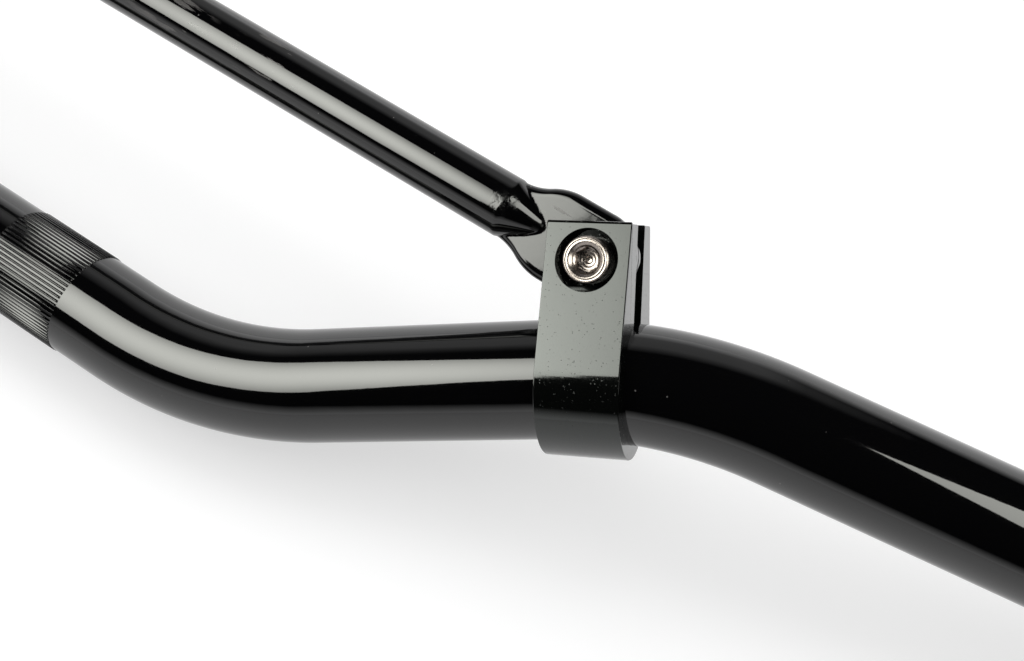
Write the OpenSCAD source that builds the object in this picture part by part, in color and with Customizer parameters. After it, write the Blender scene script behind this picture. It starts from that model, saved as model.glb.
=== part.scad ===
// Motocross handlebar with a bolted cross brace, in millimetres.
// x runs along the bar to the rider's left, y to the rear (to the rider), z up.
// The origin is the middle of the clamp zone.
// One steel tube with two knurled bands, a brace tube with pressed ends, two slotted clamps, two cap screws.

/* [Bar tube] */
// outside diameter of the tube, the 7/8 inch size that grips and levers fit
bar_d = 22.2; // [20:0.1:24]
// wall of the tube
bar_wall = 2; // [1.5:0.1:3]
// half of the straight centre, from the middle to the start of the first bend
centre_half = 60; // [56:1:90]
// bend radius at the tube's axis where the bar turns up
rise_bend_r = 78; // [70:1:90]
// angle of that bend, which is the slope of the rise
rise_deg = 32.8; // [30:0.1:36]
// straight of the rise between the two bends
rise_l = 46.8; // [44:0.2:55]
// bend radius at the tube's axis where the bar turns out to the grip
grip_bend_r = 83; // [75:1:95]
// how far the grip points up
upsweep_deg = 5; // [3:0.1:8]
// how far the grip points back to the rider
backsweep_deg = 11.1; // [9:0.1:14]
// straight of the grip, for the controls and the grip
grip_l = 190; // [160:1:220]
// hairline between a bend and a straight, which a ring inside the wall bridges at any bend angle
hairline = 0.02; // [0.02:0.01:0.05]
// bevel turned on the two open ends
end_bevel = 0.4; // [0.2:0.1:0.8]

/* [Knurled bands] */
// distance from the middle to the inner edge of a band
knurl_from = 31; // [20:1:32]
// length of a band
knurl_l = 19; // [12:1:22]
// straight ridges round the tube
knurl_n = 76; // [60:1:84]
// how far the rolling raised the crests over the tube
knurl_rise = 0.2; // [0.18:0.01:0.3]
// how far the grooves lie under the tube's surface
knurl_sink = 0.14; // [0.05:0.01:0.25]

/* [Cross brace] */
// outside diameter of the brace tube
brace_d = 11.8; // [11:0.1:12.2]
// wall of the brace tube
brace_wall = 1.6; // [1.2:0.1:1.7]
// from the screw's axis back to where the pressing starts
press_l = 19.8; // [19:0.1:21]
// length of the tapered nose between the round tube and the flat
nose_l = 7.8; // [6.5:0.1:8.5]
// length over which the tube widens to the flat
widen_l = 11.4; // [10.5:0.1:12]
// width of the pressed flat
tab_w = 17.5; // [16.5:0.1:18]
// thickness of the pressed flat, two walls on each other
tab_t = 3.4; // [3:0.1:3.8]
// how far the round end's centre lies inside the screw's axis
tab_back = 1.5; // [1.3:0.1:2]
// depth of the seam between the two pressed walls at the cut end
seam_depth = 0.8; // [0.4:0.1:1]

/* [Clamps] */
// distance of the clamp's middle past the start of the second bend
clamp_past = 7.9; // [7:0.1:9]
// width along the bar
clamp_w = 15.4; // [15:0.1:16]
// outside radius of the ring round the bar
ring_r = 14.2; // [13.6:0.1:15]
// height of the cut top over the bar's axis
clamp_top = 28.8; // [28.2:0.1:30]
// half of the depth at the top, front to back
top_half = 8.8; // [8.5:0.1:9.4]
// width of the slot between the ears
slot_w = 6.6; // [6:0.1:7]
// diameter of the flat seats inside the slot that grip the brace
seat_d = 12.6; // [11:0.1:13]
// room between the bar and the clamp's bore
seat_clear = 0.05; // [0.02:0.01:0.1]

/* [Screws] */
// height of the screw over the bar's axis
screw_h = 21.9; // [21.7:0.1:22.2]
// nominal diameter of the cap screw
screw_d = 5; // [4.8:0.1:5]
// length under the head
screw_l = 16; // [15:0.5:17]
// diameter of the head
head_d = 8.5; // [8:0.1:9]
// height of the head
head_h = 5; // [4.5:0.1:5.2]
// width across the flats of the socket
socket_af = 4; // [3.5:0.1:4.2]
// depth of the socket
socket_depth = 2.6; // [2:0.1:3]
// diameter of the countersunk mouth of the socket
mouth_d = 6.1; // [5:0.1:6.3]
// diameter of the counterbore in the front ear
cbore_d = 11.4; // [10.5:0.1:11.8]
// how far the head stands out of the front face
head_proud = 0.5; // [0.2:0.1:0.8]
// room round the screw in the front ear and in the brace, on the diameter
hole_clear = 0.5; // [0.3:0.1:0.8]
// room round the thread in the rear ear, on the diameter
thread_clear = 0.1; // [0.05:0.05:0.2]

/* [Hidden] */
$fn = 96;

function unit(v) = v / norm(v);
// the matrix that moves the origin to p and turns the axes x, y, z to the unit vectors ex, ey, ez
function frame(ex, ey, ez, p) = concat([for (i = [0:2]) [ex[i], ey[i], ez[i], p[i]]], [[0, 0, 0, 1]]);
// a point at the angle a on the arc that leaves p along t and curves to n with the radius r
function on_arc(p, t, n, r, a) = p + r * (sin(a) * t + (1 - cos(a)) * n);

bar_r = bar_d / 2;
bore_r = bar_r - bar_wall;
crest_r = bar_r + knurl_rise;
root_r = bar_r - knurl_sink;

// the bar's path on the rider's left, where x is positive
dir_c = [1, 0, 0];
dir_r = [cos(rise_deg), 0, sin(rise_deg)];
dir_g = [cos(upsweep_deg) * cos(backsweep_deg), cos(upsweep_deg) * sin(backsweep_deg), sin(upsweep_deg)];
p_rise = [centre_half, 0, 0];
n_rise = [0, 0, 1];
p_mid = on_arc(p_rise, dir_c, n_rise, rise_bend_r, rise_deg);
p_bend = p_mid + rise_l * dir_r;
bend_deg = acos(dir_r * dir_g);
n_bend = unit(dir_g - (dir_r * dir_g) * dir_r);
p_grip = on_arc(p_bend, dir_r, n_bend, grip_bend_r, bend_deg);

// the clamp's middle, its axis in the plane of the brace, and the screw over it
clamp_deg = clamp_past / grip_bend_r * 180 / PI;
p_arc = on_arc(p_bend, dir_r, n_bend, grip_bend_r, clamp_deg);
p_clamp = [p_arc[0], 0, p_arc[2]];
t_arc = cos(clamp_deg) * dir_r + sin(clamp_deg) * n_bend;
lean_deg = atan2(t_arc[2], t_arc[0]);
p_screw = p_clamp + screw_h * [-sin(lean_deg), 0, cos(lean_deg)];

// the clamp's outline: each side leaves the cut top's corner and touches the ring
corner = norm([top_half, clamp_top]);
touch_deg = atan2(top_half, clamp_top) + acos(ring_r / corner);
touch = 0.998 * ring_r * [sin(touch_deg), cos(touch_deg)];
face_y = top_half + (touch[0] - top_half) * (clamp_top - screw_h) / (clamp_top - touch[1]);
seat_y = face_y - head_h + head_proud;

// the pressed end: its rolled edge runs on two arcs that meet
roll_r = tab_t / 2;
brace_r = brace_d / 2;
edge_in = brace_r - 0.25 - roll_r;
edge_out = tab_w / 2 - roll_r;
edge_r = (widen_l * widen_l + pow(edge_out - edge_in, 2)) / (4 * (edge_out - edge_in));
edge_deg = asin(widen_l / 2 / edge_r);
round_x = press_l - tab_back;
edge_pts = concat(
    [for (i = [0:12]) [edge_r * sin(edge_deg * i / 12), edge_in + edge_r * (1 - cos(edge_deg * i / 12))]],
    [for (i = [11:-1:0]) [widen_l - edge_r * sin(edge_deg * i / 12),
        edge_out - edge_r * (1 - cos(edge_deg * i / 12))]]);

// the wall of the bar as a flat ring
module ring(inset = 0) {
    difference() {
        circle(r = bar_r - inset);
        circle(r = bore_r + inset);
    }
}

// sets children at p with their z along t
module along(p, t) {
    translate(p) rotate([0, acos(t[2]), atan2(t[1], t[0])]) children();
}

// the ring inside the wall that bridges the hairlines; it runs from z0 to z1 of a straight
module bridge(z0, z1) {
    translate([0, 0, z0]) linear_extrude(z1 - z0) ring(0.3 * bar_wall);
}

// a bent stretch of the bar that leaves p along t and curves to n
module bend(p, t, n, r, a) {
    multmatrix(frame(-n, t, cross(t, n), p + r * n)) rotate_extrude(angle = a) translate([r, 0]) children();
}

// ridges with flat flanks, crests and grooves on true circles
module knurl() {
    step = 360 / knurl_n;
    gear = [for (i = [0:knurl_n - 1]) for (q = [[-0.36, root_r - 0.3], [-0.15, crest_r + 0.3],
        [0.15, crest_r + 0.3], [0.36, root_r - 0.3]])
            q[1] * [cos((i + q[0]) * step), sin((i + q[0]) * step)]];
    difference() {
        union() {
            circle(r = root_r);
            intersection() {
                circle(r = crest_r);
                polygon(gear);
            }
        }
        circle(r = bore_r);
    }
}

// the straight of the grip, open at its far end with a bevel
module grip() {
    difference() {
        union() {
            translate([0, 0, hairline]) cylinder(r = bar_r, h = grip_l - end_bevel - hairline);
            translate([0, 0, grip_l - end_bevel]) cylinder(r1 = bar_r, r2 = bar_r - end_bevel, h = end_bevel);
        }
        translate([0, 0, -1]) cylinder(r = bore_r, h = grip_l + 2);
    }
    bridge(-1, 1);
}

module half_bar() {
    shoulder = centre_half - knurl_from - knurl_l;
    along([knurl_from, 0, 0], dir_c) linear_extrude(knurl_l) knurl();
    along([knurl_from + knurl_l, 0, 0], dir_c) {
        linear_extrude(shoulder - hairline) ring();
        bridge(shoulder - 1, shoulder + 1);
    }
    bend(p_rise, dir_c, n_rise, rise_bend_r, rise_deg) ring();
    along(p_mid, dir_r) {
        translate([0, 0, hairline]) linear_extrude(rise_l - 2 * hairline) ring();
        bridge(-1, rise_l + 1);
    }
    bend(p_bend, dir_r, n_bend, grip_bend_r, bend_deg) ring();
    along(p_grip, dir_g) grip();
}

module bar() {
    color([0.03, 0.03, 0.035]) {
        along([-knurl_from, 0, 0], dir_c) linear_extrude(2 * knurl_from) ring();
        half_bar();
        mirror([1, 0, 0]) half_bar();
    }
}

// one rolled edge of the pressed end, on the upper side
module rolled_edge() {
    translate([0, 0, edge_in + edge_r]) rotate([90, 0, 0]) rotate([0, 0, -90])
        rotate_extrude(angle = edge_deg) translate([edge_r, 0]) circle(r = roll_r);
    translate([widen_l, 0, edge_out - edge_r]) rotate([90, 0, 0]) rotate([0, 0, 90])
        rotate_extrude(angle = edge_deg) translate([edge_r, 0]) circle(r = roll_r);
    translate([widen_l, 0, edge_out]) rotate([0, 90, 0]) cylinder(r = roll_r, h = press_l + tab_w - widen_l);
}

// the flat of the pressed end, x from the start of the pressing, z across, y through
module tab() {
    far = press_l + tab_w;
    intersection() {
        union() {
            translate([0, roll_r, 0]) rotate([90, 0, 0]) linear_extrude(tab_t)
                polygon(concat(edge_pts, [[far, edge_out], [far, -edge_out]],
                    [for (i = [len(edge_pts) - 1:-1:0]) [edge_pts[i][0], -edge_pts[i][1]]]));
            rolled_edge();
            mirror([0, 0, 1]) rolled_edge();
        }
        union() {
            translate([-5, -tab_t, -tab_w]) cube([round_x + 5, 2 * tab_t, 2 * tab_w]);
            translate([round_x, tab_t, 0]) rotate([90, 0, 0]) cylinder(r = tab_w / 2, h = 2 * tab_t);
        }
    }
}

// half of the brace: the round tube from the middle, the nose and the flat to its round end
module half_brace(tube_l) {
    difference() {
        union() {
            tab();
            translate([-tube_l, 0, 0]) rotate([0, 90, 0]) cylinder(r = brace_r, h = tube_l);
            rotate([0, 90, 0]) cylinder(r1 = brace_r, r2 = roll_r - 0.2, h = nose_l + 0.3);
        }
        translate([-tube_l, 0, 0]) rotate([0, 90, 0]) cylinder(r = brace_r - brace_wall, h = tube_l);
        rotate([0, 90, 0]) cylinder(r1 = brace_r - brace_wall, r2 = 0.2, h = nose_l - 1.6);
        translate([press_l, tab_t, 0]) rotate([90, 0, 0]) cylinder(d = screw_d + hole_clear, h = 2 * tab_t);
        translate([round_x, 0.06, 0]) rotate([90, 0, 0]) difference() {
            cylinder(r = tab_w / 2 + 1, h = 0.12);
            translate([0, 0, -1]) cylinder(r = tab_w / 2 - seam_depth, h = 3);
            translate([-tab_w, -tab_w, -1]) cube([tab_w, 2 * tab_w, 3]);
        }
    }
}

module brace() {
    tube_l = p_screw[0] - press_l;
    color([0.03, 0.03, 0.035]) translate([0, 0, p_screw[2]]) {
        translate([tube_l, 0, 0]) half_brace(tube_l);
        mirror([1, 0, 0]) translate([tube_l, 0, 0]) half_brace(tube_l);
    }
}

// sets children in the left clamp's frame: x along the bar, y to the rear, z to the screw
module at_clamp() {
    translate(p_clamp) rotate([0, -lean_deg, 0]) children();
}

module clamp_body() {
    rotate([90, 0, 90]) translate([0, 0, -clamp_w / 2]) linear_extrude(clamp_w) difference() {
        union() {
            circle(r = ring_r);
            polygon([[-top_half, clamp_top], [top_half, clamp_top], touch, [0, 0], [-touch[0], touch[1]]]);
        }
        translate([-slot_w / 2, 0]) square([slot_w, clamp_top + 1]);
    }
}

module clamp() {
    color([0.05, 0.05, 0.05]) difference() {
        at_clamp() difference() {
            union() {
                clamp_body();
                // the seats stop at the flat of the brace
                for (a = [-90, 90]) translate([0, 0, screw_h]) rotate([a, 0, 0])
                    translate([0, 0, tab_t / 2]) cylinder(d = seat_d, h = (slot_w - tab_t) / 2 + 0.5);
            }
            translate([0, 0, screw_h]) rotate([90, 0, 0]) {
                cylinder(d = screw_d + hole_clear, h = 2 * ring_r);
                translate([0, 0, seat_y]) cylinder(d = cbore_d, h = ring_r);
                translate([0, 0, -2 * ring_r]) cylinder(d = screw_d + thread_clear, h = 2 * ring_r + 0.001);
            }
        }
        bend(on_arc(p_bend, dir_r, n_bend, grip_bend_r, -2), cos(2) * dir_r - sin(2) * n_bend,
            cos(2) * n_bend + sin(2) * dir_r, grip_bend_r, bend_deg) circle(r = bar_r + seat_clear);
    }
}

// a cap screw along the rear direction, its head's underside at the origin
module cap_screw() {
    rotate([90, 0, 0]) difference() {
        union() {
            cylinder(d = head_d, h = head_h - 0.5);
            translate([0, 0, head_h - 0.5]) cylinder(d1 = head_d, d2 = head_d - 1, h = 0.5);
            translate([0, 0, -screw_l + 0.6]) cylinder(d = screw_d, h = screw_l - 0.5);
            translate([0, 0, -screw_l]) cylinder(d1 = screw_d - 1.2, d2 = screw_d, h = 0.6);
        }
        translate([0, 0, head_h - socket_depth]) linear_extrude(socket_depth + 1)
            polygon([for (i = [0:5]) socket_af / sqrt(3) * [cos(60 * i), sin(60 * i)]]);
        translate([0, 0, head_h - (mouth_d - socket_af) / 2]) cylinder(d1 = socket_af, d2 = mouth_d + 0.02,
            h = (mouth_d - socket_af) / 2 + 0.01);
        translate([0, 0, head_h - socket_depth - 0.7]) cylinder(r1 = 0.05, r2 = socket_af / 2 - 0.1, h = 0.701);
    }
}

module screw() {
    color([0.75, 0.7, 0.68]) at_clamp() translate([0, -seat_y, screw_h]) cap_screw();
}

module clamp_left() { clamp(); }
module clamp_right() { mirror([1, 0, 0]) clamp(); }
module screw_left() { screw(); }
module screw_right() { mirror([1, 0, 0]) screw(); }

bar();
brace();
clamp_left();
clamp_right();
screw_left();
screw_right();
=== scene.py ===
# %% [markdown]
# A motocross handlebar in gloss black paint
#
# The real bar is one bent steel tube with two knurled bands. A thinner brace tube crosses it, and its pressed
# flat ends sit in two slotted clamps, each closed by a cap screw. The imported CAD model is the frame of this
# scene: it holds every real size. The pieces below stand for its nodes and add what a renderer needs, such as
# finer curves, soft edges and finishes. Everything is in metres in the bike's frame: x to the rider's left,
# y to the rear and z up.

import bmesh
import bpy
import numpy as np
from mathutils import Matrix, Vector


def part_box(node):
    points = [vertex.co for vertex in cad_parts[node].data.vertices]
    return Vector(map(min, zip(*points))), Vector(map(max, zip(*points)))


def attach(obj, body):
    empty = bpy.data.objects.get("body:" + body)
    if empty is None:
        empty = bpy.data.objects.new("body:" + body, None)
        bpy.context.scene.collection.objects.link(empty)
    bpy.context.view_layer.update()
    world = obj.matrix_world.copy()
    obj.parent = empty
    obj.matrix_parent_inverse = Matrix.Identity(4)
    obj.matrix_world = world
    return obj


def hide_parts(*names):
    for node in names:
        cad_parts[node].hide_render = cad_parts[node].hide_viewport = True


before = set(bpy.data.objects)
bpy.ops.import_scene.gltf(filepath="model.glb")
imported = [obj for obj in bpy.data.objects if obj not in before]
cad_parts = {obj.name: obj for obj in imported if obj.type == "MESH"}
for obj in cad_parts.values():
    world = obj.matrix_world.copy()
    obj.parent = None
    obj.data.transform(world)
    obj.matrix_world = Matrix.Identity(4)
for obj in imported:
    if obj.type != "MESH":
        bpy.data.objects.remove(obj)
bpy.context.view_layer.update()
MM = 0.001

# %% [markdown]
# The path of the tube
#
# A bender works with straights and arcs, so the path is written the same way: where each arc starts, the
# direction it leaves and the side it curves to. The left half is worked out and the right half mirrors it.
# The brace, the clamps, the screws and the lamps all read their places from this path.

# %% Work out the path of the bar
BAR_R, BORE_R = 11.1, 9.1
CENTRE_HALF, RISE_BEND_R, RISE_L, GRIP_BEND_R, GRIP_L = 60.0, 78.0, 46.8, 83.0, 190.0
RISE, UP, BACK = np.radians([32.8, 5.0, 11.1])


def arc(start, along, side, radius, angle):
    return start + radius * (np.sin(angle) * along + (1 - np.cos(angle)) * side)


x_axis, z_axis = np.array([1.0, 0, 0]), np.array([0, 0, 1.0])
along_rise = np.array([np.cos(RISE), 0, np.sin(RISE)])
along_grip = np.array([np.cos(UP) * np.cos(BACK), np.cos(UP) * np.sin(BACK), np.sin(UP)])
at_rise = np.array([CENTRE_HALF, 0, 0])
at_middle = arc(at_rise, x_axis, z_axis, RISE_BEND_R, RISE)
at_bend = at_middle + RISE_L * along_rise
GRIP_BEND = np.arccos(along_rise @ along_grip)
side_bend = along_grip - (along_rise @ along_grip) * along_rise
side_bend /= np.linalg.norm(side_bend)
at_grip = arc(at_bend, along_rise, side_bend, GRIP_BEND_R, GRIP_BEND)
print("the grip starts at", at_grip.round(2), "mm and the bar ends at", (at_grip + GRIP_L * along_grip).round(2))

# %% [markdown]
# Making a mesh from rings
#
# The tube, the brace, the clamps and the screws are all skins over rings of points. One helper joins rings of
# equal length with quads, and then caps both ends or joins the last ring to the first. It marks an edge as
# sharp only where the faces on its two sides turn by more than a given angle, so that a bend shades smoothly
# and a cut end stays crisp.


# %% Skin a stack of rings
def skin(name, rings, closed=False, sharp=30):
    rings = np.asarray(rings, float) * MM
    count, around = rings.shape[:2]
    index = np.arange(count * around).reshape(count, around)
    steps = count if closed else count - 1
    faces = []
    for i in range(steps):
        a, b = index[i], index[(i + 1) % count]
        faces += [(a[j], a[(j + 1) % around], b[(j + 1) % around], b[j]) for j in range(around)]
    if not closed:
        faces += [tuple(index[0][::-1]), tuple(index[-1])]
    mesh = bpy.data.meshes.new(name)
    mesh.from_pydata(rings.reshape(-1, 3).tolist(), [], [tuple(int(v) for v in f) for f in faces])
    return finish_mesh(name, mesh, sharp)


def finish_mesh(name, mesh, sharp=30):
    work = bmesh.new()
    work.from_mesh(mesh)
    bmesh.ops.remove_doubles(work, verts=work.verts, dist=1e-7)
    bmesh.ops.dissolve_degenerate(work, edges=work.edges, dist=1e-7)
    bmesh.ops.recalc_face_normals(work, faces=work.faces)
    work.to_mesh(mesh)
    work.free()
    mesh.shade_smooth()
    mesh.set_sharp_from_angle(angle=np.radians(sharp))
    piece = bpy.data.objects.new(name, mesh)
    bpy.context.scene.collection.objects.link(piece)
    return piece


def mirrored(piece, name):
    mesh = piece.data.copy()
    mesh.transform(Matrix.Scale(-1, 4, (1, 0, 0)))
    return finish_mesh(name, mesh)


# %% [markdown]
# Sweeping the tube
#
# A tube that follows a path needs a ring at each station, square to the path. Turning the ring's frame by only
# what the path turns keeps the skin from twisting. The knurled bands are rolled into the tube, so the tube's
# radius drops to the depth of the grooves there, and the ridges come in the next step. The skin runs out to one
# end, over its small bevel, and back through the bore to the other end, so that the wall has its real thickness.

# %% Lay the stations and sweep the bar
KNURL_FROM, KNURL_L, GROOVE_R, END_BEVEL = 31.0, 19.0, 10.96, 0.4


def half_path(bend_steps):
    """Stations from the middle to the left end: point, direction and radius at each."""
    band = [KNURL_FROM, KNURL_FROM + KNURL_L]
    stations = [(x * x_axis, x_axis, r) for x, r in [
        (0.0, BAR_R), (band[0] - 0.05, BAR_R), (band[0] + 0.05, GROOVE_R), (band[1] - 0.05, GROOVE_R),
        (band[1] + 0.05, BAR_R)]]
    for angle in np.linspace(0, RISE, bend_steps):
        stations.append((arc(at_rise, x_axis, z_axis, RISE_BEND_R, angle),
                         np.cos(angle) * x_axis + np.sin(angle) * z_axis, BAR_R))
    for angle in np.linspace(0, GRIP_BEND, bend_steps):
        stations.append((arc(at_bend, along_rise, side_bend, GRIP_BEND_R, angle),
                         np.cos(angle) * along_rise + np.sin(angle) * side_bend, BAR_R))
    stations += [(at_grip + (GRIP_L - END_BEVEL) * along_grip, along_grip, BAR_R),
                 (at_grip + GRIP_L * along_grip, along_grip, BAR_R - END_BEVEL)]
    return stations


def rings_along(stations, around, radius=None):
    up = np.array([0, 0, 1.0])
    angles = np.arange(around) * 2 * np.pi / around
    rings = []
    for point, along, own in stations:
        up = up - (up @ along) * along
        up /= np.linalg.norm(up)
        side = np.cross(along, up)
        ring = np.outer(np.cos(angles), up) + np.outer(np.sin(angles), side)
        rings.append(point + (radius or own) * ring)
    return rings


def both_halves(rings):
    flip = np.array([-1.0, 1, 1])
    return [r * flip for r in rings[:0:-1]] + rings


AROUND = 144
outside = both_halves(rings_along(half_path(36), AROUND))
inside = both_halves(rings_along(half_path(10), AROUND, BORE_R))
bar_tube = skin("bar_tube", outside + inside[::-1], closed=True)
print("bar_tube", len(bar_tube.data.polygons), "faces")

# %% [markdown]
# The knurled bands
#
# A wheel with straight teeth is pressed against the turning tube, so the ridges are straight, evenly spaced and
# a little higher than the tube. The squeezed metal leaves them narrower and round at the top, and that round is
# what makes each one shine as a line. It is a repeat by a rule, so Geometry Nodes make it: one ridge, moved out
# to the groove's radius, is set on as many points as there are ridges, and each copy is turned about the tube.
# The second band is the first one moved over.

# %% Build the ridges with Geometry Nodes
KNURL_COUNT, CREST_R, RIDGE_W = 76, 11.3, 0.56
NARROW_TOP, SHORT_TOP, ROUND_TOP = -0.22, -0.03, -2.2


class Tree:
    """Adds nodes to a node tree: a type, its settings and the values or links of its sockets."""

    def __init__(self, tree):
        self.tree = tree

    def add(self, kind, inputs=None, **settings):
        node = self.tree.nodes.new(kind)
        for key, value in settings.items():
            setattr(node, key, value)
        for key, value in (inputs or {}).items():
            socket = node.inputs[key]
            if isinstance(value, bpy.types.NodeSocket):
                self.tree.links.new(value, socket)
            else:
                socket.default_value = value
        return node


def knurl_tree():
    tree = bpy.data.node_groups.new("Straight knurl", "GeometryNodeTree")
    for name, kind, value in [
            ("Ridges", "NodeSocketInt", KNURL_COUNT), ("Groove radius", "NodeSocketFloat", 0.01),
            ("Ridge height", "NodeSocketFloat", 0.0003), ("Ridge width", "NodeSocketFloat", 0.0005),
            ("Band length", "NodeSocketFloat", 0.02), ("Band centre", "NodeSocketFloat", 0.04),
            ("Finish", "NodeSocketMaterial", None)]:
        socket = tree.interface.new_socket(name, in_out="INPUT", socket_type=kind)
        if value is not None:
            socket.default_value = value
    tree.interface.new_socket("Geometry", in_out="OUTPUT", socket_type="NodeSocketGeometry")
    t = Tree(tree)
    given = t.add("NodeGroupInput").outputs
    size = t.add("ShaderNodeCombineXYZ", {
        0: given["Band length"], 1: given["Ridge width"], 2: given["Ridge height"]})
    block = t.add("GeometryNodeMeshCube", {"Size": size.outputs[0], "Vertices Y": 7})
    place = t.add("ShaderNodeSeparateXYZ", {0: t.add("GeometryNodeInputPosition").outputs[0]})
    crest = t.add("ShaderNodeMath", {0: place.outputs[2], 1: 0.0}, operation="GREATER_THAN")
    narrow = t.add("ShaderNodeMath", {0: crest.outputs[0], 1: NARROW_TOP, 2: 1.0}, operation="MULTIPLY_ADD")
    shorten = t.add("ShaderNodeMath", {0: crest.outputs[0], 1: SHORT_TOP, 2: 1.0}, operation="MULTIPLY_ADD")
    x = t.add("ShaderNodeMath", {0: place.outputs[0], 1: shorten.outputs[0]}, operation="MULTIPLY")
    y = t.add("ShaderNodeMath", {0: place.outputs[1], 1: narrow.outputs[0]}, operation="MULTIPLY")
    half = t.add("ShaderNodeMath", {0: given["Ridge height"], 1: 0.5, 2: given["Groove radius"]},
                 operation="MULTIPLY_ADD")
    aside = t.add("ShaderNodeMath", {0: place.outputs[1], 1: given["Ridge width"]}, operation="DIVIDE")
    round_off = t.add("ShaderNodeMath", {0: aside.outputs[0], 1: aside.outputs[0]}, operation="MULTIPLY")
    dip = t.add("ShaderNodeMath", {0: round_off.outputs[0], 1: given["Ridge height"]}, operation="MULTIPLY")
    crest_dip = t.add("ShaderNodeMath", {0: dip.outputs[0], 1: crest.outputs[0]}, operation="MULTIPLY")
    raised = t.add("ShaderNodeMath", {0: place.outputs[2], 1: half.outputs[0]}, operation="ADD")
    z = t.add("ShaderNodeMath", {0: crest_dip.outputs[0], 1: ROUND_TOP, 2: raised.outputs[0]},
              operation="MULTIPLY_ADD")
    moved = t.add("ShaderNodeCombineXYZ", {0: x.outputs[0], 1: y.outputs[0], 2: z.outputs[0]})
    ridge = t.add("GeometryNodeSetPosition", {"Geometry": block.outputs["Mesh"], "Position": moved.outputs[0]})
    points = t.add("GeometryNodePoints", {"Count": given["Ridges"]})
    step = t.add("ShaderNodeMath", {0: 2 * np.pi, 1: given["Ridges"]}, operation="DIVIDE")
    turn = t.add("ShaderNodeMath", {0: t.add("GeometryNodeInputIndex").outputs[0], 1: step.outputs[0]},
                 operation="MULTIPLY")
    turned = t.add("ShaderNodeCombineXYZ", {0: turn.outputs[0]})
    round_it = t.add("GeometryNodeInstanceOnPoints", {"Points": points.outputs[0], "Instance": ridge.outputs[0],
                                                      "Rotation": turned.outputs[0]})
    bands = t.add("GeometryNodeJoinGeometry")
    back = t.add("ShaderNodeMath", {0: given["Band centre"], 1: -1.0}, operation="MULTIPLY")
    for centre in (given["Band centre"], back.outputs[0]):
        shift = t.add("ShaderNodeCombineXYZ", {0: centre})
        band = t.add("GeometryNodeTransform", {"Geometry": round_it.outputs[0], "Translation": shift.outputs[0]})
        tree.links.new(band.outputs[0], bands.inputs[0])
    real = t.add("GeometryNodeRealizeInstances", {0: bands.outputs[0]})
    painted = t.add("GeometryNodeSetMaterial", {"Geometry": real.outputs[0], "Material": given["Finish"]})
    t.add("NodeGroupOutput", {0: painted.outputs[0]})
    return tree


def grown(name, tree, values):
    """The plain mesh that a Geometry Nodes tree makes with these inputs."""
    seed = bpy.data.objects.new(name + "_seed", bpy.data.meshes.new(name + "_seed"))
    bpy.context.scene.collection.objects.link(seed)
    modifier = seed.modifiers.new("nodes", "NODES")
    modifier.node_group = tree
    for item in tree.interface.items_tree:
        if item.in_out == "INPUT" and item.name in values:
            modifier[item.identifier] = values[item.name]
    ready = seed.evaluated_get(bpy.context.evaluated_depsgraph_get())
    mesh = bpy.data.meshes.new_from_object(ready)
    seed.modifiers.clear()
    bpy.data.objects.remove(seed)
    piece = bpy.data.objects.new(name, mesh)
    bpy.context.scene.collection.objects.link(piece)
    return piece


paint = bpy.data.materials.new("gloss_black_paint")
bar_knurl = grown("bar_knurl", knurl_tree(), {
    "Ridges": KNURL_COUNT, "Groove radius": (GROOVE_R - 0.02) * MM,
    "Ridge height": (CREST_R - GROOVE_R + 0.01) * MM, "Ridge width": RIDGE_W * MM, "Band length": KNURL_L * MM,
    "Band centre": (KNURL_FROM + KNURL_L / 2) * MM, "Finish": paint})
bar_knurl.data.shade_smooth()
bar_knurl.data.set_sharp_from_angle(angle=np.radians(50))
print("bar_knurl", len(bar_knurl.data.polygons), "faces")

# %% [markdown]
# The brace and its pressed ends
#
# The end of the brace is a round tube that was squeezed flat in a press. Its section changes from a circle to a
# flat band with rolled edges. Two shapes live in it at once: a nose, the cone that the tube runs out into, and
# the flat, which widens on a pair of arcs. Each section takes the larger of the two in every direction, which
# leaves the crease where the nose meets the flat. Past the screw the end is cut round, so the section is
# clipped to that circle and keeps an upright cut wall.

# %% Skin the brace
BRACE_R, TAB_W, TAB_T, PRESS_L, NOSE_L, WIDEN_L, TAB_BACK = 5.9, 17.5, 3.4, 19.8, 8.1, 11.4, 1.5
CLAMP_PAST, SCREW_H = 7.9, 21.9
NOSE_SOFT, CREASE_SOFT = 0.5, 0.06
ROLL_R = TAB_T / 2
EDGE_IN, EDGE_OUT = BRACE_R - 0.25 - ROLL_R, TAB_W / 2 - ROLL_R
EDGE_R = (WIDEN_L ** 2 + (EDGE_OUT - EDGE_IN) ** 2) / (4 * (EDGE_OUT - EDGE_IN))

clamp_turn = CLAMP_PAST / GRIP_BEND_R
on_bend = arc(at_bend, along_rise, side_bend, GRIP_BEND_R, clamp_turn)
along_clamp = np.cos(clamp_turn) * along_rise + np.sin(clamp_turn) * side_bend
LEAN = np.arctan2(along_clamp[2], along_clamp[0])
clamp_x, clamp_z = np.array([np.cos(LEAN), 0, np.sin(LEAN)]), np.array([-np.sin(LEAN), 0, np.cos(LEAN)])
at_clamp = np.array([on_bend[0], 0, on_bend[2]])
at_screw = at_clamp + SCREW_H * clamp_z


def edge_centre(u):
    """How far the rolled edge's middle line lies from the brace's axis, u past the start of the pressing."""
    u = np.clip(u, 0, WIDEN_L)
    bow = EDGE_R - np.sqrt(EDGE_R ** 2 - np.minimum(u, WIDEN_L - u) ** 2)
    return np.where(u < WIDEN_L / 2, EDGE_IN + bow, EDGE_OUT - bow)


def eased(u):
    """The nose's slope sets in over a short rounding, not at a ridge."""
    return np.hypot(u, NOSE_SOFT) - NOSE_SOFT


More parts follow.
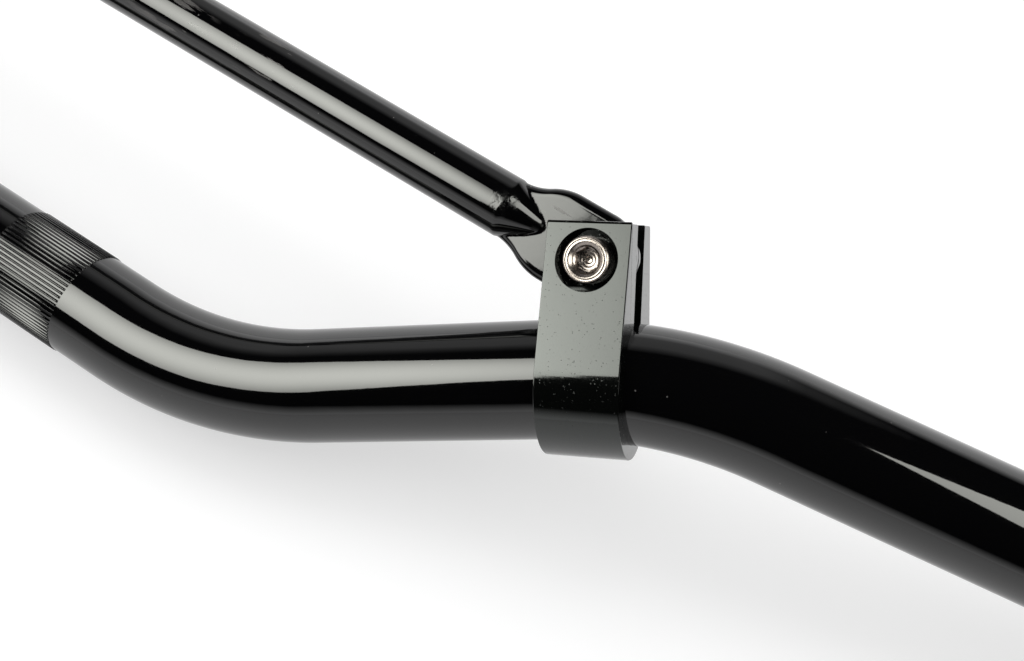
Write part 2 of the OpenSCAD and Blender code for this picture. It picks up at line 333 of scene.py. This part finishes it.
def pressed_section(u, flat=46, roll=20):
    """The closed section at u as (y, z) points: the flat with rolled edges, joined with the nose, cut round."""
    c = float(edge_centre(u))
    bend = np.linspace(-np.pi / 2, np.pi / 2, roll + 1)[:-1]
    line = np.linspace(-1, 1, flat + 1)[:-1]
    one = [(-ROLL_R, c * v) for v in line] + [(ROLL_R * np.sin(a), c + ROLL_R * np.cos(a)) for a in bend]
    section = np.array(one + [(-y, -z) for y, z in one])
    nose = BRACE_R - (BRACE_R - ROLL_R) * eased(u) / eased(NOSE_L)
    if nose > 0.1:
        reach = np.hypot(*section.T)
        section *= ((reach + nose + np.hypot(reach - nose, CREASE_SOFT)) / 2 / reach)[:, None]
    past = u - (PRESS_L - TAB_BACK)
    if past > 0:
        half = np.sqrt(max((TAB_W / 2) ** 2 - past ** 2, 0.0025))
        groove = np.where((np.abs(section[:, 0]) < 0.1) & (np.abs(section[:, 1]) > half), 0.3, 0)
        limit = half - groove if half > 0.5 else half
        section[:, 1] = np.clip(section[:, 1], -limit, limit)
    return section


def brace_rings():
    start = at_screw[0] - PRESS_L
    cut = PRESS_L - TAB_BACK + TAB_W / 2 * np.sin(np.linspace(0, np.pi / 2, 34))
    stations = np.concatenate([np.arange(0, PRESS_L - TAB_BACK, 0.3), cut])
    tube = pressed_section(0)
    tube = tube / np.hypot(*tube.T)[:, None] * BRACE_R
    half = [(0.0, tube), (start - 0.3, tube)] + [(start + u, pressed_section(u)) for u in stations]
    rings = [np.column_stack([np.full(len(s), x), s[:, 0], s[:, 1] + at_screw[2]]) for x, s in half]
    return both_halves(rings)


brace_tube = skin("brace_tube", brace_rings(), sharp=24)
print("brace_tube", len(brace_tube.data.polygons), "faces, screws at x", round(float(at_screw[0]), 2), "mm")

# %% [markdown]
# Cutting with booleans
#
# A drill or a saw takes material away, and a boolean does the same to a mesh. It is the plain choice where
# round cutters meet flat or round walls. The cutter is made as a mesh of its own, applied exactly and removed.


# %% Make cutters and cut
def drill(start, end, radius, around=96):
    start, end = np.asarray(start, float), np.asarray(end, float)
    along = (end - start) / np.linalg.norm(end - start)
    up = np.array([0, 0, 1.0]) if abs(along[2]) < 0.9 else np.array([1.0, 0, 0])
    up = up - (up @ along) * along
    up /= np.linalg.norm(up)
    side = np.cross(along, up)
    a = np.arange(around) * 2 * np.pi / around
    ring = np.outer(np.cos(a), up) + np.outer(np.sin(a), side)
    return skin("cutter", [start + radius * ring, end + radius * ring])


def change(piece, cutter, operation="DIFFERENCE"):
    modifier = piece.modifiers.new("cut", "BOOLEAN")
    modifier.operation, modifier.solver, modifier.object = operation, "EXACT", cutter
    ready = piece.evaluated_get(bpy.context.evaluated_depsgraph_get())
    mesh = bpy.data.meshes.new_from_object(ready)
    piece.modifiers.clear()
    name, old = piece.name, piece.data
    piece.data = mesh
    bpy.data.meshes.remove(old)
    bpy.data.objects.remove(cutter)
    mesh.name = name


def flat_faces_flat(piece):
    """Smooth shading bends the normals of a large flat face at its rim; weighting by area keeps it flat."""
    modifier = piece.modifiers.new("even", "WEIGHTED_NORMAL")
    modifier.mode, modifier.weight, modifier.keep_sharp = "FACE_AREA", 100, True
    mesh = bpy.data.meshes.new_from_object(piece.evaluated_get(bpy.context.evaluated_depsgraph_get()))
    piece.modifiers.clear()
    name, piece.data = piece.name, mesh
    mesh.name = name


SCREW_D, HOLE_CLEAR = 5.0, 0.5
for sign in (1, -1):
    hole = [sign * at_screw[0], 0, at_screw[2]]
    change(brace_tube, drill([hole[0], -4, hole[2]], [hole[0], 4, hole[2]], (SCREW_D + HOLE_CLEAR) / 2, 48))
brace_tube.data.set_sharp_from_angle(angle=np.radians(24))
print("brace_tube drilled,", len(brace_tube.data.polygons), "faces")

# %% [markdown]
# The clamps
#
# Each clamp starts as one extruded bar of aluminium: a ring whose sides run up tangent to a flat top. It is cut
# to width, its long edges are broken by tumbling, then it is bored for the tube, sawn open, and drilled and
# counterbored for the screw. The steps here follow that order, with the two seats that grip the brace added
# after the saw. The bore follows the tube's second bend. A sliver that the booleans leave open is filled last.

# %% Build a clamp
CLAMP_W, RING_R, CLAMP_TOP, TOP_HALF, SLOT_W = 15.4, 14.2, 28.8, 8.8, 6.6
SEAT_D, SEAT_CLEAR, CBORE_D, HEAD_H, HEAD_PROUD = 12.6, 0.05, 11.4, 5.0, 0.5
EDGE = 0.22


def to_world(points):
    p = np.atleast_2d(np.asarray(points, float))
    return at_clamp + np.outer(p[:, 0], clamp_x) + p[:, 1:2] * np.array([0, 1.0, 0]) + np.outer(p[:, 2], clamp_z)


reach_corner = np.hypot(TOP_HALF, CLAMP_TOP)
touch_angle = np.arctan2(TOP_HALF, CLAMP_TOP) + np.arccos(RING_R / reach_corner)
touch = 0.998 * RING_R * np.array([np.sin(touch_angle), np.cos(touch_angle)])
face_y = TOP_HALF + (touch[0] - TOP_HALF) * (CLAMP_TOP - SCREW_H) / (CLAMP_TOP - touch[1])
seat_y = face_y - HEAD_H + HEAD_PROUD


def clamp_outline(inset):
    """The outline, y across and z up, pulled in by inset, with its top corners broken."""
    radius = RING_R - inset
    low = np.arctan2(touch[0], touch[1])
    ring = [(radius * np.sin(a), radius * np.cos(a)) for a in np.linspace(low, 2 * np.pi - low, 72)]
    slope = np.array([touch[0] - TOP_HALF, touch[1] - CLAMP_TOP])
    slope /= np.linalg.norm(slope)
    top, half = CLAMP_TOP - inset, TOP_HALF - inset * 0.95
    broken = 0.3
    corner = np.array([half, top])
    right = [corner + broken * slope, corner + 0.35 * broken * (slope - np.array([1, 0])) * 0.55,
             corner - np.array([broken, 0])]
    left = [np.array([-p[0], p[1]]) for p in right[::-1]]
    return np.array(left + right[::-1] + ring)


def clamp_piece(name):
    rings = []
    for x, inset in [(-CLAMP_W / 2, EDGE), (-CLAMP_W / 2 + 0.07, 0.07), (-CLAMP_W / 2 + EDGE, 0),
                     (CLAMP_W / 2 - EDGE, 0), (CLAMP_W / 2 - 0.07, 0.07), (CLAMP_W / 2, EDGE)]:
        outline = clamp_outline(inset)
        rings.append(to_world(np.column_stack([np.full(len(outline), x), outline])))
    piece = skin(name, rings)
    turns = np.linspace(-0.08, GRIP_BEND + 0.02, 24)
    stations = [(arc(at_bend, along_rise, side_bend, GRIP_BEND_R, a),
                 np.cos(a) * along_rise + np.sin(a) * side_bend, 0) for a in turns]
    change(piece, skin("bore", rings_along(stations, 96, BAR_R + SEAT_CLEAR)))
    saw = [to_world([[x, y, z] for y, z in [(-SLOT_W / 2, 0), (SLOT_W / 2, 0), (SLOT_W / 2, CLAMP_TOP + 2),
                                            (-SLOT_W / 2, CLAMP_TOP + 2)]]) for x in (-CLAMP_W, CLAMP_W)]
    change(piece, skin("saw", saw))
    for side in (-1, 1):
        seat = to_world([[0, side * TAB_T / 2, SCREW_H], [0, side * (SLOT_W / 2 + 0.5), SCREW_H]])
        change(piece, drill(seat[0], seat[1], SEAT_D / 2), "UNION")
    far = to_world([[0, -RING_R * 2, SCREW_H], [0, -seat_y, SCREW_H], [0, 0.1, SCREW_H], [0, RING_R * 2, SCREW_H]])
    change(piece, drill(far[0], far[1], CBORE_D / 2))
    change(piece, drill(far[0], far[2], (SCREW_D + HOLE_CLEAR) / 2, 48))
    change(piece, drill(far[2] - np.array([0, 1, 0]), far[3], (SCREW_D + 0.1) / 2, 48))
    work = bmesh.new()
    work.from_mesh(piece.data)
    slivers = [edge for edge in work.edges if edge.is_boundary]
    bmesh.ops.holes_fill(work, edges=slivers, sides=4)
    bmesh.ops.recalc_face_normals(work, faces=work.faces)
    work.to_mesh(piece.data)
    work.free()
    piece.data.set_sharp_from_angle(angle=np.radians(28))
    return piece


clamp_left_piece = clamp_piece("clamp_left_body")
clamp_right_piece = mirrored(clamp_left_piece, "clamp_right_body")
for piece in (clamp_left_piece, clamp_right_piece):
    flat_faces_flat(piece)
print("clamp", len(clamp_left_piece.data.polygons), "faces, leaning", round(float(np.degrees(LEAN)), 2), "degrees")

# %% [markdown]
# The cap screws
#
# A socket screw is turned and then broached: the mouth is a cone, six flats go down to the broach's depth, and
# the drill's point is left at the bottom with its turning marks. In polar rings this is easy, because in every
# direction the wall of the socket is the larger of the cone and the hexagon.

# %% Skin a screw
SCREW_L, HEAD_D, SOCKET_AF, SOCKET_DEEP, MOUTH_D = 16.0, 8.5, 4.0, 2.6, 6.1


def screw_piece(name):
    a = np.arange(96) * 2 * np.pi / 96
    hexagon = SOCKET_AF / 2 / np.cos((a + np.pi / 6) % (np.pi / 3) - np.pi / 6)
    flat = np.ones(96)
    rings = [(-SCREW_L, 0.01 * flat), (-SCREW_L, 1.9 * flat), (-SCREW_L + 0.6, SCREW_D / 2 * flat),
             (-0.35, SCREW_D / 2 * flat), (-0.1, (SCREW_D / 2 + 0.1) * flat), (0, (SCREW_D / 2 + 0.24) * flat),
             (0, (HEAD_D / 2 - 0.15) * flat), (0.15, HEAD_D / 2 * flat)]
    for turn in np.linspace(0, np.pi / 2, 7):
        rings.append((HEAD_H - 0.5 + 0.5 * np.sin(turn), (HEAD_D / 2 - 0.5 + 0.5 * np.cos(turn)) * flat))
    rings += [(HEAD_H, (MOUTH_D / 2 + 0.16) * flat), (HEAD_H - 0.03, (MOUTH_D / 2 + 0.05) * flat)]
    slope = (MOUTH_D - SOCKET_AF) / 2
    for depth in np.linspace(0.06, slope, 14):
        rings.append((HEAD_H - depth, np.maximum(MOUTH_D / 2 - depth, hexagon)))
    rings.append((HEAD_H - SOCKET_DEEP, hexagon))
    drilled = SOCKET_AF / 2 - 0.1
    for k, part in enumerate(np.linspace(1, 0.04, 22)):
        rings.append((HEAD_H - SOCKET_DEEP - 0.7 * (1 - part) + 0.018 * (k % 2), drilled * part * flat))
    skins = []
    for height, radius in rings:
        centre = at_clamp + SCREW_H * clamp_z + np.array([0, -seat_y - height, 0])
        skins.append(centre + np.outer(radius * np.cos(a), clamp_x) + np.outer(radius * np.sin(a), clamp_z))
    return skin(name, skins, sharp=34)


screw_left_piece = screw_piece("screw_left_cap")
screw_right_piece = mirrored(screw_left_piece, "screw_right_cap")
print("screw", len(screw_left_piece.data.polygons), "faces")

# %% [markdown]
# Shader maths in plain Python
#
# A finish is mostly arithmetic on patterns. Wrapping a socket in a small class lets that arithmetic be written
# as an expression, and each operator adds the Math node it stands for.


# %% Wrap sockets
class Value:
    def __init__(self, shader, socket):
        self.shader, self.socket = shader, socket

    def _math(self, operation, a, b=None, clamp=False):
        inputs = {i: (v.socket if isinstance(v, Value) else v) for i, v in enumerate((a, b)) if v is not None}
        node = self.shader.add("ShaderNodeMath", inputs, operation=operation, use_clamp=clamp)
        return Value(self.shader, node.outputs[0])

    def __add__(self, other):
        return self._math("ADD", self, other)

    def __sub__(self, other):
        return self._math("SUBTRACT", self, other)

    def __rsub__(self, other):
        return self._math("SUBTRACT", other, self)

    def __mul__(self, other):
        return self._math("MULTIPLY", self, other)

    __radd__, __rmul__ = __add__, __mul__

    def above(self, limit, width):
        """0 below the limit, 1 above limit + width, with a straight slope between."""
        return self._math("MULTIPLY", self - limit, 1 / width, clamp=True)

    def most(self, other):
        return self._math("MAXIMUM", self, other)


class Finish(Tree):
    """A material's tree with its Principled shader and the object's own coordinates."""

    def __init__(self, material, **constants):
        material.use_nodes = True
        super().__init__(material.node_tree)
        self.material = material
        self.shader = material.node_tree.nodes["Principled BSDF"]
        for name, value in constants.items():
            self.shader.inputs[name.replace("_", " ")].default_value = value
        self.place = self.add("ShaderNodeTexCoord").outputs["Object"]

    def noise(self, scale, detail=2.0, stretch=None):
        place = self.place
        if stretch:
            place = self.add("ShaderNodeMapping", {"Vector": self.place, "Scale": stretch}).outputs[0]
        node = self.add("ShaderNodeTexNoise", {"Vector": place, "Scale": scale, "Detail": detail})
        return Value(self, node.outputs[0])

    def specks(self, scale, size):
        """1 inside small round specks, one or none in each cell."""
        cells = self.add("ShaderNodeTexVoronoi", {"Vector": self.place, "Scale": scale, "Randomness": 1.0})
        keep = Value(self, self.add("ShaderNodeSeparateColor", {0: cells.outputs["Color"]}).outputs[0])
        near = (size - Value(self, cells.outputs["Distance"])).above(0.0, size * 0.4)
        return near * keep.above(0.7, 0.02)

    def near(self, centre, radius):
        """1 at a point of the object, fading to 0 at the radius."""
        gap = self.add("ShaderNodeVectorMath", {0: self.place, 1: centre}, operation="DISTANCE")
        return (radius - Value(self, gap.outputs["Value"])).above(0.0, radius * 0.6)

    def bumpy(self, *layers):
        """Bump nodes in a chain; each layer is a height from 0 to 1 and its real height in metres."""
        normal = None
        for height, deep in layers:
            inputs = {"Height": height.socket, "Distance": deep, "Strength": 1.0}
            if normal:
                inputs["Normal"] = normal
            normal = self.add("ShaderNodeBump", inputs).outputs[0]
        self.tree.links.new(normal, self.shader.inputs["Normal"])

    def drive(self, name, value):
        self.tree.links.new(value.socket if isinstance(value, Value) else value, self.shader.inputs[name])

    def blend(self, mask, a, b):
        node = self.add("ShaderNodeMix", {"Factor": mask.socket, "A": a, "B": b}, data_type="RGBA")
        return node.outputs[2]


# %% [markdown]
# Three finishes
#
# The bar and the brace wear gloss black paint: nearly no colour of its own, a sharp reflection, a faint orange
# peel and a few specks of dust and rub marks. The clamps wear the same black over tumbled metal, so their
# reflection breaks up into fine pits. The screws are bright nickel plate, a shade warmer than steel, with the
# fine rings that a lathe leaves.

# %% Mix the finishes
RUBS = [((0.040, -0.0059, 0.0615), 0.012), ((0.064, -0.0057, 0.0620), 0.009), ((0.127, -0.0017, 0.0670), 0.005)]
SCUFF = ((0.1187, -0.0056, 0.0623), 0.0032)
RING_PITCH = 0.00062

gloss = Finish(paint, IOR=1.55)
dust = gloss.specks(380, 0.07)
streaks = gloss.noise(900, 3, (0.12, 1, 1)).above(0.60, 0.04)
spots = [gloss.near(*spot) for spot in RUBS]
rubs = streaks * spots[0].most(spots[1]).most(spots[2])
scuff = gloss.near(*SCUFF)
grit = gloss.noise(1100, 3).above(0.42, 0.2)
gloss.drive("Base Color", gloss.blend(dust.most(rubs * 0.8), (0.0015, 0.0015, 0.0017, 1), (0.09, 0.086, 0.082, 1)))
gloss.drive("Roughness", 0.035 + 0.03 * gloss.noise(140, 3) + 0.25 * dust + 0.2 * rubs + 0.28 * scuff * grit)
gloss.bumpy((gloss.noise(260, 1), 0.000012), (gloss.noise(2600, 1), 0.0000005), (scuff * grit, 0.000025))

coat = bpy.data.materials.new("pitted_black_coat")
pitted = Finish(coat, IOR=1.55, Specular_Tint=(0.965, 1.0, 0.98, 1))
pits = pitted.specks(1500, 0.24).most(pitted.noise(2100, 3).above(0.66, 0.05))
pitted.drive("Base Color", pitted.blend(pits, (0.0018, 0.0021, 0.0019, 1), (0.001, 0.001, 0.001, 1)))
pitted.drive("Roughness", 0.05 + 0.05 * pitted.noise(300, 3) + 0.3 * pits)
pitted.bumpy((pitted.noise(420, 2), 0.0000035), (pitted.noise(3200, 2), 0.0000009))

plate = bpy.data.materials.new("bright_nickel_plate")
nickel = Finish(plate, Metallic=1.0)
worn = nickel.noise(1500, 4)
axes = nickel.add("ShaderNodeSeparateXYZ", {0: nickel.place}).outputs
aside = Value(nickel, nickel.add("ShaderNodeMath", {0: axes[0]}, operation="ABSOLUTE").outputs[0])
from_axis = nickel.add("ShaderNodeCombineXYZ", {
    0: (aside - at_screw[0] * MM).socket, 2: (Value(nickel, axes[2]) - at_screw[2] * MM).socket})
out = nickel.add("ShaderNodeVectorMath", {0: from_axis.outputs[0]}, operation="LENGTH").outputs["Value"]
phase = Value(nickel, out) * (2 * np.pi / RING_PITCH)
turns = Value(nickel, nickel.add("ShaderNodeMath", {0: phase.socket}, operation="SINE").outputs[0])
nickel.drive("Base Color", nickel.blend(worn, (0.20, 0.172, 0.155, 1), (0.46, 0.41, 0.375, 1)))
nickel.drive("Roughness", 0.20 + 0.14 * worn)
nickel.bumpy((turns * 0.5 + 0.5, 0.000045), (nickel.noise(2200, 2), 0.000004))
for piece, finish in [(bar_tube, paint), (brace_tube, paint), (clamp_left_piece, coat), (clamp_right_piece, coat),
                      (screw_left_piece, plate), (screw_right_piece, plate)]:
    piece.data.materials.clear()
    piece.data.materials.append(finish)
print("finishes", [m.name for m in bpy.data.materials if m.users])

# %% [markdown]
# Joining the pieces to the frame
#
# The object has no joint, so every piece rides on the one body, root. Each piece stands for the CAD node whose
# form it refines, and the slot of the record that its finish belongs to is listed beside it.

# %% Ride and replace
for piece, node, slot in [(bar_tube, "bar", "bar_paint"), (bar_knurl, "bar", "bar_paint"),
                          (brace_tube, "brace", "bar_paint"), (clamp_left_piece, "clamp_left", "clamp_coat"),
                          (clamp_right_piece, "clamp_right", "clamp_coat"),
                          (screw_left_piece, "screw_left", "screw_steel"),
                          (screw_right_piece, "screw_right", "screw_steel")]:
    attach(piece, "root")
    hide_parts(node)
    low, high = (np.array(c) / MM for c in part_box(node))
    own = np.array([v.co for v in piece.data.vertices]) / MM
    print(piece.name, "lies", (own.min(0) - low).round(2), (high - own.max(0)).round(2), "mm inside its node's box")

# %% [markdown]
# The table
#
# In the photograph the bar lies on a white table. Laid down, such a bar touches it along the centre tube and at
# the two grip ends, so the table is the plane behind the bar that touches those three. It is a stage, not a part
# of the object. Half of its white is seen only by the camera and in reflections and gives no light, which keeps
# the shadows on it pale. From behind it would hide the object, so its back is clear to those same rays.

# %% Lay the white table
up_table = np.array([0, -(at_grip + GRIP_L * along_grip)[2], (at_grip + GRIP_L * along_grip)[1]])
up_table /= np.linalg.norm(up_table)
touch_table = -CREST_R * up_table
down_table = np.cross(x_axis, up_table)
table_size = 1500.0
corners = [touch_table + table_size * (sx * x_axis + sz * down_table)
           for sx, sz in [(-1, -1), (1, -1), (1, 1), (-1, 1)]]
sheet = bpy.data.meshes.new("table")
sheet.from_pydata([tuple(c * MM) for c in corners], [], [(0, 1, 2, 3)])
if sheet.polygons[0].normal @ Vector(up_table) < 0:
    sheet.flip_normals()
table = bpy.data.objects.new("table", sheet)
bpy.context.scene.collection.objects.link(table)
white = bpy.data.materials.new("white_table")
white.use_nodes = True
t = Tree(white.node_tree)
white.node_tree.nodes.remove(white.node_tree.nodes["Principled BSDF"])
rays = t.add("ShaderNodeLightPath").outputs
mirrored_ray = t.add("ShaderNodeMath", {0: rays["Is Glossy Ray"], 1: rays["Is Transmission Ray"]},
                     operation="MAXIMUM")
seen = t.add("ShaderNodeMath", {0: rays["Is Camera Ray"], 1: mirrored_ray.outputs[0]}, operation="MAXIMUM")
half_white = t.add("ShaderNodeMath", {0: seen.outputs[0], 1: 0.5}, operation="MULTIPLY")
matt = t.add("ShaderNodeBsdfDiffuse", {"Color": (0.55, 0.55, 0.55, 1)})
glow = t.add("ShaderNodeEmission", {"Strength": half_white.outputs[0]})
lit = t.add("ShaderNodeAddShader", {0: matt.outputs[0], 1: glow.outputs[0]})
clear = t.add("ShaderNodeBsdfTransparent")
behind = t.add("ShaderNodeNewGeometry").outputs["Backfacing"]
hide = t.add("ShaderNodeMath", {0: behind, 1: seen.outputs[0]}, operation="MULTIPLY")
mixed = t.add("ShaderNodeMixShader", {0: hide.outputs[0], 1: lit.outputs[0], 2: clear.outputs[0]})
white.node_tree.links.new(mixed.outputs[0], white.node_tree.nodes["Material Output"].inputs["Surface"])
table.data.materials.append(white)
print("the table's normal is", up_table.round(3))

# %% [markdown]
# Camera and light
#
# The camera is the one that was fitted to the photograph: a 48 mm lens a quarter of a metre from the clamp. The
# light is two large softboxes, one at the left and one at the right of the camera. Gloss paint shows them as two
# bright bands, so their shape in the reflection matters more than their light. Each is a panel that only
# reflected rays see, brightest in its middle, and its corners were found by following the edges of the bands
# back from the curved paint. Three lamps light the table softly and give it the shadow. The world holds the
# rest of the studio: white below the table's horizon and nearly black above it.

# %% Set the camera
right, up = np.array([0.83057, 0.27870, 0.48216]), np.array([-0.51009, 0.03321, 0.85948])
toward = np.cross(right, up)
camera_data = bpy.data.cameras.new("camera")
camera_data.sensor_width, camera_data.lens = 36.0, 1366.15 / 1024 * 36.0
camera_data.clip_start, camera_data.clip_end = 0.01, 20.0
camera = bpy.data.objects.new("camera", camera_data)
bpy.context.scene.collection.objects.link(camera)
eye = Vector((0.18742, -0.24463, 0.08496))
camera.matrix_world = Matrix.Translation(eye) @ Matrix([right, up, toward]).transposed().to_4x4()
bpy.context.scene.camera = camera
print("lens", round(camera_data.lens, 2), "mm at", [round(v, 4) for v in eye])

# %% Paint the studio into the world
world = bpy.data.worlds.new("studio")
bpy.context.scene.world = world
world.use_nodes = True
studio = Tree(world.node_tree)
direction = studio.add("ShaderNodeTexCoord").outputs["Generated"]


def from_camera(x, y, z):
    """A direction given as right, up and toward the camera, in the frame's own axes."""
    return tuple(x * right + y * up + z * toward)


def along_direction(axis):
    return Value(studio, studio.add("ShaderNodeVectorMath", {0: direction, 1: axis},
                                    operation="DOT_PRODUCT").outputs["Value"])


ground = 1 - along_direction(tuple(up_table + 0.06 * right)).above(0.0, 0.24)
haze = along_direction(from_camera(0, 1, 0)).above(0.78, 0.12) * (
    1 - along_direction(from_camera(0, 0, 1)).above(0.15, 0.25))
GROUND, HAZE, FILL = 1.08, 0.5, 0.62
mirror_light = GROUND * ground + HAZE * haze
rays = studio.add("ShaderNodeLightPath").outputs
camera_ray, glossy_ray = Value(studio, rays["Is Camera Ray"]), Value(studio, rays["Is Glossy Ray"])
strength = camera_ray + glossy_ray * (1 - camera_ray) * mirror_light + (
    1 - camera_ray) * (1 - glossy_ray) * FILL
background = world.node_tree.nodes["Background"]
background.inputs["Color"].default_value = (1, 1, 1, 1)
world.node_tree.links.new(strength.socket, background.inputs["Strength"])


# %% Hang the lamps and the panels
def lamp(name, toward_it, distance, size, power):
    data = bpy.data.lights.new(name, "AREA")
    data.shape, data.size, data.energy = "DISK", size, power
    hung = bpy.data.objects.new(name, data)
    bpy.context.scene.collection.objects.link(hung)
    away = Vector(from_camera(*toward_it)).normalized()
    hung.location = Vector(at_clamp * MM) + away * distance
    hung.rotation_euler = away.to_track_quat("Z", "Y").to_euler()
    hung.visible_glossy = hung.visible_camera = False


PANEL_AWAY = 350.0


def panel(name, toward_it, corners, brightest, glow, spread):
    """A glowing panel near the left clamp; its corners and its brightest point are in mm on the panel."""
    away = np.array(toward_it) / np.linalg.norm(toward_it)
    across = np.cross([0, 1.0, 0], away)
    across /= np.linalg.norm(across)
    rise = np.cross(away, across)
    place = [at_clamp + np.array(from_camera(*(PANEL_AWAY * away + x * across + y * rise)))
             for x, y in [*corners, brightest]]
    mesh = bpy.data.meshes.new(name)
    mesh.from_pydata([tuple(q * MM) for q in place[:-1]], [], [tuple(range(len(corners)))])
    hung = bpy.data.objects.new(name, mesh)
    bpy.context.scene.collection.objects.link(hung)
    hung.visible_camera = hung.visible_diffuse = hung.visible_shadow = hung.visible_transmission = False
    light = bpy.data.materials.new(name)
    light.use_nodes = True
    t = Finish(light)
    gap = t.add("ShaderNodeVectorMath", {0: t.place, 1: tuple(place[-1] * MM)}, operation="DISTANCE")
    far = Value(t, gap.outputs["Value"]) * (1 / spread)
    fall = t.add("ShaderNodeMath", {0: np.exp(-0.5), 1: (far * far).socket}, operation="POWER")
    bright = t.add("ShaderNodeEmission", {
        "Color": (0.99, 1.0, 0.93, 1), "Strength": (glow * Value(t, fall.outputs[0])).socket})
    light.node_tree.nodes.remove(t.shader)
    light.node_tree.links.new(bright.outputs[0], light.node_tree.nodes["Material Output"].inputs["Surface"])
    mesh.materials.append(light)


lamp("top_lamp", (0.0, 0.86, 0.51), 1.1, 0.7, 3.9)
lamp("left_lamp", (-0.68, 0.55, 0.62), 1.1, 0.9, 2.6)
lamp("right_lamp", (0.62, 0.65, 0.60), 1.2, 0.9, 2.8)
panel("left_panel", (-0.7, 0.25, 0.65),
      [(-5, -160), (62, -95), (82, -80), (98, -80), (103, -57), (117, -55), (119, -34),
       (156, -18), (156, 162), (-140, 162), (-180, 60),
       (-128, -55), (-60, -140)], (0, 10), 10.8, 0.130)
panel("right_panel", (0.62, 0.35, 0.70), [(-70, -6), (180, 22), (180, -260), (-62, -260)], (60, -60), 6.5, 0.30)
bpy.context.scene.view_settings.view_transform = "Standard"
print("three lamps, two panels and a painted studio")
